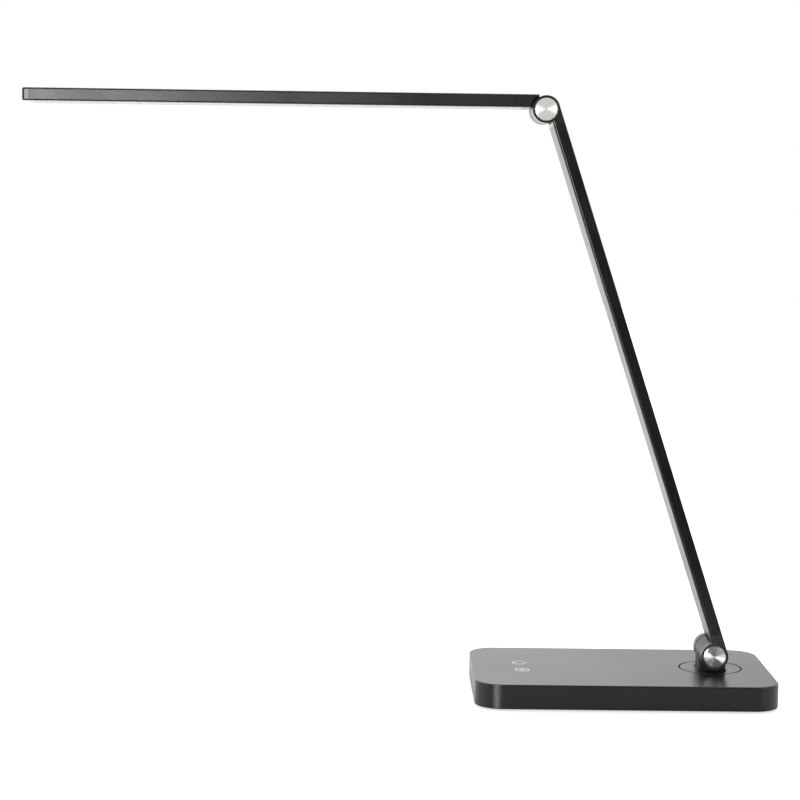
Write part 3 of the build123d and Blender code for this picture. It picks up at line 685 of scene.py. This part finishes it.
@cache
def light_tree() -> Repeat:
    """Makes the tree that fills a grid with light packages, each with a window of phosphor.

    Returns:
        The tree, made once.
    """
    tree = Repeat("light_rows", {
        "Columns": "NodeSocketInt", "Rows": "NodeSocketInt",
        "Length": "NodeSocketFloat", "Width": "NodeSocketFloat",
        "Package": "NodeSocketVector", "Window": "NodeSocketVector",
        "Drop": "NodeSocketVector", "Middle": "NodeSocketVector",
        "Body": "NodeSocketMaterial", "Phosphor": "NodeSocketMaterial",
    })
    given = tree.given
    grid = tree.step("GeometryNodeMeshGrid", "Mesh", Size_X=given["Length"], Size_Y=given["Width"],
                     Vertices_X=given["Columns"], Vertices_Y=given["Rows"])
    placed = tree.step("GeometryNodeTransform", "Geometry", Geometry=grid, Translation=given["Middle"])
    package = tree.step("GeometryNodeMeshCube", "Mesh", Size=given["Package"])
    window = tree.step("GeometryNodeMeshCube", "Mesh", Size=given["Window"])
    lowered = tree.step("GeometryNodeTransform", "Geometry", Geometry=window, Translation=given["Drop"])
    on_faces = {"data_type": "BOOLEAN", "domain": "FACE"}
    marked = tree.step("GeometryNodeStoreNamedAttribute", "Geometry", on_faces, Geometry=lowered,
                       Name="phosphor", Value=True)
    both = tree.add("GeometryNodeJoinGeometry")
    for part in (marked, package):
        tree.feed(both.inputs["Geometry"], part)
    copies = tree.step("GeometryNodeInstanceOnPoints", "Instances", Points=placed,
                       Instance=both.outputs["Geometry"])
    real = tree.step("GeometryNodeRealizeInstances", "Geometry", Geometry=copies)
    plain = tree.step("GeometryNodeSetMaterial", "Geometry", Geometry=real, Material=given["Body"])
    chosen = tree.step("GeometryNodeInputNamedAttribute", "Attribute", {"data_type": "BOOLEAN"},
                       Name="phosphor")
    tree.end(tree.step("GeometryNodeSetMaterial", "Geometry", Geometry=plain, Selection=chosen,
                       Material=given["Phosphor"]))
    return tree


@dataclass(frozen=True)
class SocketScrew:
    """A countersunk screw with a hexagon socket. Its flat head faces +Z at the origin."""

    head_radius: float = 2.3 * MM
    shank_radius: float = 1.2 * MM
    tip_radius: float = 0.72 * MM
    tip_length: float = 0.48 * MM
    length: float = 4.2 * MM
    rim: float = 0.12 * MM
    socket_flats: float = 1.5 * MM
    socket_bevel: float = 0.06 * MM
    socket_mouth: float = 0.9375 * MM
    socket_depth: float = 1.0 * MM
    points: int = 24

    def hexagon(self, height: float) -> Ring:
        """The socket's outline at a height, with as many points as the round rings.

        Args:
            height: The height over the flat head.

        Returns:
            The points in order.
        """
        ring = []
        for i in range(self.points):
            angle = 2 * pi * i / self.points
            from_middle_of_flat = angle % (pi / 3) - pi / 6
            radius = self.socket_flats / 2 / cos(from_middle_of_flat)
            ring.append(Vector((radius * cos(angle), radius * sin(angle), height)))
        return ring

    def model(self, name: str) -> bpy.types.Object:
        """Builds the screw.

        Args:
            name: The object's name.

        Returns:
            A pattern piece, to be copied and then removed.
        """
        cone = self.head_radius - self.shank_radius
        across, up = Vector((1, 0, 0)), Vector((0, 1, 0))
        rings = [
            circle_about(Vector((0, 0, height)), radius, across, up, self.points)
            for radius, height in (
                (self.tip_radius, -self.length),
                (self.shank_radius, -self.length + self.tip_length),
                (self.shank_radius, -cone - self.rim),
                (self.head_radius, -self.rim),
                (self.head_radius - self.rim, 0.0),
                (self.socket_mouth, 0.0),
            )
        ]
        rings += [self.hexagon(-self.socket_bevel), self.hexagon(-self.socket_depth)]
        shape = Shape()
        shape.loft(rings)
        return shape.piece(name, BLACKED_STEEL)

    def copies(self, name: str, places: list[Point], turn: Point) -> bpy.types.Object:
        """Puts a copy of the screw at each place.

        Args:
            name: The new piece's name.
            places: Where the middle of each flat head lies.
            turn: The turn from +Z to the way the heads face, as Euler angles in radians.

        Returns:
            One piece with all the screws in it.
        """
        pattern = self.model(f"{name}_pattern")
        made = screw_tree().make(name, places_mesh(name, places), {
            "Screw": pattern, "Turn": turn, "Finish": material_of(BLACKED_STEEL),
        })
        bpy.data.objects.remove(pattern)
        return made


def dress(finishes: dict[str, Finish]) -> None:
    """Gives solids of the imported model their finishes.

    Args:
        finishes: The finish of each node, by the node's name.
    """
    for name, finish in finishes.items():
        node = frame["nodes"][name]
        for slot in node.material_slots:
            slot.material = material_of(finish)
        log.info("%s: %s", name, finish.name)


@dataclass
class Base:
    """The weighted base, its electronics and the two printed marks over the touch keys."""

    top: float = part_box("base_shell")[1].z
    ink: float = 0.02 * MM
    stroke: float = 1.15 * MM
    far_mark: Range = (-70.8 * MM, 9.8 * MM)
    near_mark: Range = (-70.2 * MM, -14.1 * MM)
    far_radius: float = 4.6 * MM
    near_radius: float = 4.75 * MM
    ring_opening: float = 70.0
    bar_length: float = 3.7 * MM
    disc_radius: float = 1.9 * MM
    arc_steps: int = 48
    disc_points: int = 32

    finishes: dict[str, Finish] = field(default_factory=lambda: {
        "base_shell": SHELL_LACQUER,
        "base_plate": PLATE_PAINT,
        "foot_pad": PAD_RUBBER,
        "ballast_plate": STEEL,
        "base_screws": STEEL,
        "ballast_screws": STEEL,
        "control_board": CONTROL_BOARD,
        "control_parts": BLACK_PLASTIC,
        "control_screws": STEEL,
        "touch_springs": SPRING_STEEL,
        "dc_jack": BLACK_PLASTIC,
        "jack_pin": BRASS,
        "power_lead": LEAD_SHEATH,
        "lamp_lead": LEAD_SHEATH,
        "swivel_bush": WHITE_PLASTIC,
    })

    def section(self, centre: Vector, along: Vector) -> Ring:
        """The four corners of a printed line's section.

        Args:
            centre: The middle of the line, on the base's top.
            along: The way that the line runs there.

        Returns:
            The corners in order.
        """
        side = along.cross(Vector((0, 0, 1))).normalized() * (self.stroke / 2)
        rise = Vector((0, 0, self.ink))
        return [centre - side, centre + side, centre + side + rise, centre - side + rise]

    def arc(self, shape: Shape, centre: Vector, radius: float, start: float, end: float) -> None:
        """Prints an arc.

        Args:
            shape: The mark that it goes into.
            centre: The arc's centre on the base's top.
            radius: The radius of the middle of the line.
            start: Where it starts, in degrees from +X.
            end: Where it ends. A whole turn makes a closed ring.
        """
        whole = end - start >= 360.0
        count = self.arc_steps if whole else self.arc_steps + 1
        angles = [radians(start + (end - start) * i / self.arc_steps) for i in range(count)]
        rings = [
            self.section(centre + Vector((cos(a), sin(a), 0)) * radius, Vector((-sin(a), cos(a), 0)))
            for a in angles
        ]
        shape.loft(rings, closed=whole)

    def line(self, shape: Shape, start: Vector, end: Vector) -> None:
        """Prints a straight line."""
        shape.loft([self.section(point, end - start) for point in (start, end)])

    def print_far_mark(self) -> bpy.types.Object:
        """Prints an open ring with a bar over the far key.

        Returns:
            The mark.
        """
        shape = Shape()
        centre = Vector((*self.far_mark, self.top))
        half_opening = self.ring_opening / 2
        self.arc(shape, centre, self.far_radius, half_opening, 360.0 - half_opening)
        start = centre + Vector((self.far_radius - self.bar_length / 2, 0, 0))
        self.line(shape, start, start + Vector((self.bar_length, 0, 0)))
        return shape.piece("far_key_mark", MARK_INK)

    def print_near_mark(self) -> bpy.types.Object:
        """Prints a ring round a disc over the near key.

        Returns:
            The mark.
        """
        shape = Shape()
        centre = Vector((*self.near_mark, self.top))
        self.arc(shape, centre, self.near_radius, 0.0, 360.0)
        across, up = Vector((1, 0, 0)), Vector((0, 1, 0))
        shape.loft([circle_about(centre + Vector((0, 0, height)), self.disc_radius, across, up,
                                 self.disc_points) for height in (0.0, self.ink)])
        return shape.piece("near_key_mark", MARK_INK)

    def build(self) -> None:
        """Dresses the base and prints its marks."""
        dress(self.finishes)
        for piece in (self.print_far_mark(), self.print_near_mark()):
            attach(piece, "base")
            log.info("%s printed", piece.name)


@dataclass
class Swivel:
    """The swivel plate and the cast post on it."""

    finishes: dict[str, Finish] = field(default_factory=lambda: {
        "swivel_disc": SWIVEL_PAINT,
        "hinge_post": CAST_PAINT,
        "post_lead": LEAD_SHEATH,
        "thrust_washer": STEEL,
        "swivel_spring": SPRING_STEEL,
        "swivel_nut": STEEL,
        "lower_bushes": SINTERED_BRONZE,
    })

    def build(self) -> None:
        """Dresses the swivel."""
        dress(self.finishes)


@dataclass
class Hinge:
    """One of the arm's two hinges, with a spun cap on each side."""

    name: str
    centre: Point
    # Painted light: the share of each cap made diffuse in place of metal, so that it shows lighter.
    painted_light_share: float = 0.0
    twist: float = 0.0
    radius: float = 7.9 * MM
    thickness: float = 1.5 * MM
    rim_width: float = 0.75 * MM
    rim_drop: float = 0.35 * MM
    rim_crown: float = 0.018 * MM
    edge: float = 0.06 * MM
    edge_drop: float = 0.024 * MM
    dish_start: float = 0.18 * MM
    dish_waist: float = 0.6
    waist_depth: float = 0.01 * MM
    dish_depth: float = 0.015 * MM
    pip: float = 0.25 * MM
    collar_outside: float = 6.25 * MM
    collar_inside: float = 5.6 * MM
    collar: float = 1.0 * MM
    half_width: float = 20.5 * MM
    inset: float = 0.15 * MM
    points: int = 96

    def profile(self) -> list[Range]:
        """Draws the cap's outline from its hidden back to its slightly dished face.

        Returns:
            Each point's radius and its height over the cap's seat.
        """
        face = self.thickness
        rim = face - self.rim_drop
        inner = self.radius - self.rim_width
        return [
            (self.collar_inside, 0.0),
            (self.collar_inside, -self.collar),
            (self.collar_outside, -self.collar),
            (self.collar_outside, 0.0),
            (self.radius - self.edge, 0.0),
            (self.radius, self.edge),
            (self.radius, rim - self.edge),
            (self.radius - self.edge, rim + self.rim_crown),
            (inner + self.edge, face - self.edge_drop),
            (inner - self.edge, face),
            (inner - self.dish_start, face),
            (inner * self.dish_waist, face - self.waist_depth),
            (self.pip * 2, face - self.dish_depth),
            (self.pip, face - self.dish_depth - self.edge),
        ]

    def turn_cap(self, word: str, side: int) -> None:
        """Turns one cap, which rides on the arm in place of its plain solid.

        Args:
            word: The side's name, near or far.
            side: -1 for the near side and 1 for the far one.
        """
        outward = Vector((0, side, 0))
        seat = Vector(self.centre) + outward * (self.half_width - self.inset - self.thickness)
        across, up = Vector((1, 0, 0)), Vector((0, 0, 1))
        shape = Shape()
        shape.loft([circle_about(seat + outward * height, radius, across, up, self.points)
                    for radius, height in self.profile()])
        finish = SpunAluminium(f"spun_{self.name}_{word}", centre=self.centre, painted_light_share=self.painted_light_share,
                               twist=self.twist)
        piece = shape.piece(f"{self.name}_{word}_spun_cap", finish, sharp=20.0)
        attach(piece, "arm")
        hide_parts(f"{self.name}_{word}_cap")
        log.info("%s turned", piece.name)

    def build(self) -> None:
        """Dresses the hinge's hidden pieces and turns its two caps."""
        dress({
            f"{self.name}_axle": STEEL,
            f"{self.name}_disc_springs": SPRING_STEEL,
            f"{self.name}_lock_nut": STEEL,
            f"{self.name}_friction_washers": BLACK_PLASTIC,
        })
        self.turn_cap("near", -1)
        self.turn_cap("far", 1)


@dataclass
class Arm:
    """The flat arm between the hinges."""

    back: float = 9.5 * MM
    screw_heights: Range = (22.0 * MM, 380.0 * MM)
    screw_side: float = 12.0 * MM
    screw: SocketScrew = SocketScrew()

    finishes: dict[str, Finish] = field(default_factory=lambda: {
        "lower_fork": LOWER_FORK_LACQUER,
        "upper_fork": UPPER_FORK_LACQUER,
        "arm_tube": ARM_ANODISED,
        "arm_cable": LEAD_SHEATH,
    })

    def place(self, back: float, side: float, height: float) -> Point:
        """A point given behind, across and along the arm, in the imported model's frame."""
        turn = Matrix.Rotation(radians(-ARM_LEAN), 3, "Y")
        return tuple(Vector(LOWER_PIVOT) + turn @ Vector((back, side, height)))

    def fit_screws(self) -> None:
        """Fits the four screws in the arm's back."""
        places = [self.place(self.back, side * self.screw_side, height)
                  for height in self.screw_heights for side in (-1, 1)]
        piece = self.screw.copies("arm_screws", places, (0.0, radians(90.0 - ARM_LEAN), 0.0))
        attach(piece, "arm")
        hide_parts("lower_fork_screws", "upper_fork_screws")
        log.info("%s: %d", piece.name, len(places))

    def build(self) -> None:
        """Dresses the arm and fits its screws."""
        dress(self.finishes)
        self.fit_screws()


@dataclass
class Head:
    """The light head: a channel with a light board over a milky cover."""

    top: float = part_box("head_housing")[1].z
    screw_reach: float = 23.0 * MM
    screw_side: float = 12.0 * MM
    screw: SocketScrew = SocketScrew()
    light_columns: int = 26
    light_rows: int = 2
    light_package: Point = (3.5 * MM, 2.8 * MM, 0.7 * MM)
    light_window: Point = (2.7 * MM, 2.0 * MM, 0.12 * MM)
    window_sunk: float = 0.08 * MM

    finishes: dict[str, Finish] = field(default_factory=lambda: {
        "upper_bushes": SINTERED_BRONZE,
        "head_knuckle": KNUCKLE_LACQUER,
        "head_housing": HEAD_ANODISED,
        "head_tip_cap": TIP_PLASTIC,
        "diffuser": MILKY_COVER,
        "led_board": BARE_ALUMINIUM,
        "reflector_sheet": WHITE_FILM,
        "head_lead": LEAD_SHEATH,
    })

    def fit_screws(self) -> None:
        """Fits the two screws in the head's top."""
        x, y, _ = UPPER_PIVOT
        places = [(x - self.screw_reach, y + side * self.screw_side, self.top) for side in (-1, 1)]
        piece = self.screw.copies("head_top_screws", places, (0.0, 0.0, 0.0))
        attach(piece, "head")
        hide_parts("head_screws")
        log.info("%s: %d", piece.name, len(places))

    def fill_light_rows(self) -> None:
        """Fills the board with its two rows of lights, in place of their plain blocks."""
        low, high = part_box("leds")
        length, width, height = self.light_package
        window_drop = (height + self.light_window[2]) / 2 - self.window_sunk
        piece = light_tree().make("light_rows", places_mesh("light_rows", []), {
            "Columns": self.light_columns, "Rows": self.light_rows,
            "Length": high.x - low.x - length, "Width": high.y - low.y - width,
            "Package": self.light_package, "Window": self.light_window,
            "Drop": (0.0, 0.0, -window_drop), "Middle": tuple((low + high) / 2),
            "Body": material_of(LIGHT_PACKAGE), "Phosphor": material_of(PHOSPHOR),
        })
        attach(piece, "head")
        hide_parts("leds")
        log.info("%s: %d lights", piece.name, self.light_columns * self.light_rows)

    def build(self) -> None:
        """Dresses the head, fits its screws and fills its light rows."""
        dress(self.finishes)
        self.fit_screws()
        self.fill_light_rows()


@dataclass(frozen=True)
class Softbox:
    """A soft studio lamp aimed at a point. Its power is in watts."""

    name: str
    place: Point
    aim: Point
    width: float
    height: float
    power: float
    colour: Colour = (1.0, 1.0, 0.965)

    def set_up(self) -> None:
        """Sets up the lamp."""
        data = bpy.data.lights.new(self.name, "AREA")
        data.shape = "RECTANGLE"
        data.size, data.size_y = self.width, self.height
        data.energy = self.power
        data.color = self.colour
        lamp = linked(self.name, data)
        lamp.location = self.place
        lamp.rotation_mode = "QUATERNION"
        lamp.rotation_quaternion = (Vector(self.aim) - Vector(self.place)).to_track_quat("-Z", "Y")


@dataclass
class Studio:
    """The pale floor, the white surround, the soft lamps and the camera.

    A band of the surround is a range of one part of the direction, from -1 to 1. The camera's turns are in
    degrees, and its focal length in the photograph's pixels.
    """

    floor_half: float = 6.0
    floor_front: float = 0.34
    floor_colour: Colour = even(0.68)
    floor_patch: float = 0.4
    floor_patch_shade: float = 0.99
    floor_roughness: float = 0.16
    floor_glow: float = 0.62
    behind_band: Range = (0.0, 0.4)
    floor_mirrored: Range = (0.1, 0.75)
    depth_band: Range = (-0.8, -0.15)
    depth_levels: Range = (0.05, 1.25)
    side_band: Range = (0.04, 0.2)
    side_levels: Range = (1.14, 0.88)
    above_band: Range = (0.25, 0.55)
    above_levels: Range = (0.0, 0.3)
    warmth: Colour = (1.0, 1.0, 0.975)
    white: Colour = even(1.0)
    camera_place: Point = (-176.055 * MM, -1525.718 * MM, 345.561 * MM)
    camera_pitch: float = 5.213
    camera_yaw: float = 0.656
    camera_roll: float = 0.770
    focal_pixels: float = 2181.777
    lamps: tuple[Softbox, ...] = (
        Softbox("key_softbox", place=(-0.80, -1.6, 0.34), aim=(-0.36, 0.0, 0.30), width=0.66,
                height=0.78, power=19.4),
        Softbox("right_softbox", place=(1.4, -1.15, 0.88), aim=(0.0, 0.0, 0.2), width=0.6,
                height=0.8, power=5.0),
    )

    def floor_finish(self) -> bpy.types.Material:
        """Makes the floor's finish, which looks white where no shadow falls.

        Returns:
            The material.
        """
        shader = Shader("pale_floor")
        patches = shader.noise(shader.place(even(self.floor_patch)), detail=1.0)
        patch_colour = tuple(channel * self.floor_patch_shade for channel in self.floor_colour)
        shader.set(
            Base_Color=shader.blend(patches, self.floor_colour, patch_colour),
            Roughness=self.floor_roughness,
        )
        rays = shader.add("ShaderNodeLightPath").outputs
        along = shader.part(shader.object_place, "Y")
        behind = shader.span(along, self.behind_band, *self.floor_mirrored)
        mirrored = shader.maths("MULTIPLY", rays["Is Glossy Ray"], behind)
        seen = shader.maths("MAXIMUM", rays["Is Camera Ray"], mirrored)
        seen = shader.maths("MAXIMUM", seen, rays["Is Transmission Ray"])
        glow = shader.step("ShaderNodeEmission", "Emission",
                           Strength=shader.maths("MULTIPLY", seen, self.floor_glow))
        both = shader.add("ShaderNodeAddShader")
        for socket, light in zip(both.inputs, (shader.surface.outputs["BSDF"], glow)):
            shader.feed(socket, light)
        shader.feed(shader.output.inputs["Surface"], both.outputs["Shader"])
        return shader.material

    def lay_floor(self) -> None:
        """Lays the floor that the lamp stands on."""
        half, front = self.floor_half, self.floor_front
        corners = [(-half, -front, 0), (half, -front, 0), (half, half, 0), (-half, half, 0)]
        data = bpy.data.meshes.new("floor")
        data.from_pydata(corners, [], [(0, 1, 2, 3)])
        data.materials.append(self.floor_finish())
        linked("floor", data)

    def light_surround(self) -> None:
        """Makes the surround white to the eye, bright behind the lamp and dim in front of it."""
        world = bpy.data.worlds.new("surround")
        bpy.context.scene.world = world
        world.use_nodes = True
        nodes = Shading(world.node_tree)
        direction = nodes.step("ShaderNodeTexCoord", "Generated")

        def fade(axis: str, band: Range, levels: Range) -> Socket:
            """A level that changes smoothly over a band of one part of the direction."""
            return nodes.span(nodes.part(direction, axis), band, *levels, curve="SMOOTHSTEP")

        rays = nodes.add("ShaderNodeLightPath").outputs
        around = nodes.maths("MULTIPLY", fade("Y", self.depth_band, self.depth_levels),
                             fade("X", self.side_band, self.side_levels))
        above = nodes.maths("MULTIPLY", rays["Is Glossy Ray"],
                            fade("Z", self.above_band, self.above_levels))
        seen = nodes.maths("MAXIMUM", rays["Is Camera Ray"], rays["Is Transmission Ray"])
        level = nodes.between(seen, nodes.maths("MAXIMUM", around, above), 1.0)
        background = nodes.step("ShaderNodeBackground", "Background", Strength=level,
                                Color=nodes.blend(seen, self.warmth, self.white))
        nodes.add("ShaderNodeOutputWorld", Surface=background)

    def place_camera(self) -> None:
        """Places the camera where the photograph was taken from."""
        pitch, yaw, roll = (radians(a) for a in (self.camera_pitch, self.camera_yaw, self.camera_roll))
        ahead = Vector((sin(yaw) * cos(pitch), cos(yaw) * cos(pitch), -sin(pitch)))
        level = ahead.cross(Vector((0, 0, 1))).normalized()
        down = ahead.cross(level)
        across = level * cos(roll) - down * sin(roll)
        below = level * sin(roll) + down * cos(roll)
        data = bpy.data.cameras.new("photo_camera")
        data.sensor_width = SENSOR_WIDTH
        data.lens = self.focal_pixels / PHOTO_PIXELS * SENSOR_WIDTH
        camera = linked("photo_camera", data)
        turn = Matrix((across, -below, -ahead)).transposed()
        camera.matrix_world = Matrix.LocRotScale(Vector(self.camera_place), turn.to_quaternion(), None)
        bpy.context.scene.camera = camera

    def build(self) -> None:
        """Sets up the whole studio."""
        self.lay_floor()
        self.light_surround()
        for lamp in self.lamps:
            lamp.set_up()
        self.place_camera()
        bpy.context.scene.view_settings.view_transform = "Standard"
        log.info("studio: %d lamps", len(self.lamps))


def main() -> None:
    """Builds the lamp's sub-assemblies in order, from the base up, and then the studio."""
    logging.basicConfig(level=logging.INFO, format="%(message)s")
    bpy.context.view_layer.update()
    lower_hinge = Hinge("lower", LOWER_PIVOT, twist=-12.0)
    # The upper caps take a diffuse share in place of metal as painted light, which shows them lighter than
    # the lower caps of the same aluminium.
    upper_hinge = Hinge("upper", UPPER_PIVOT, painted_light_share=0.7, twist=7.0)
    for part in (Base(), Swivel(), lower_hinge, Arm(), upper_hinge, Head()):
        log.info("building %s", type(part).__name__)
        part.build()
    Studio().build()


if __name__ == "__main__":
    main()
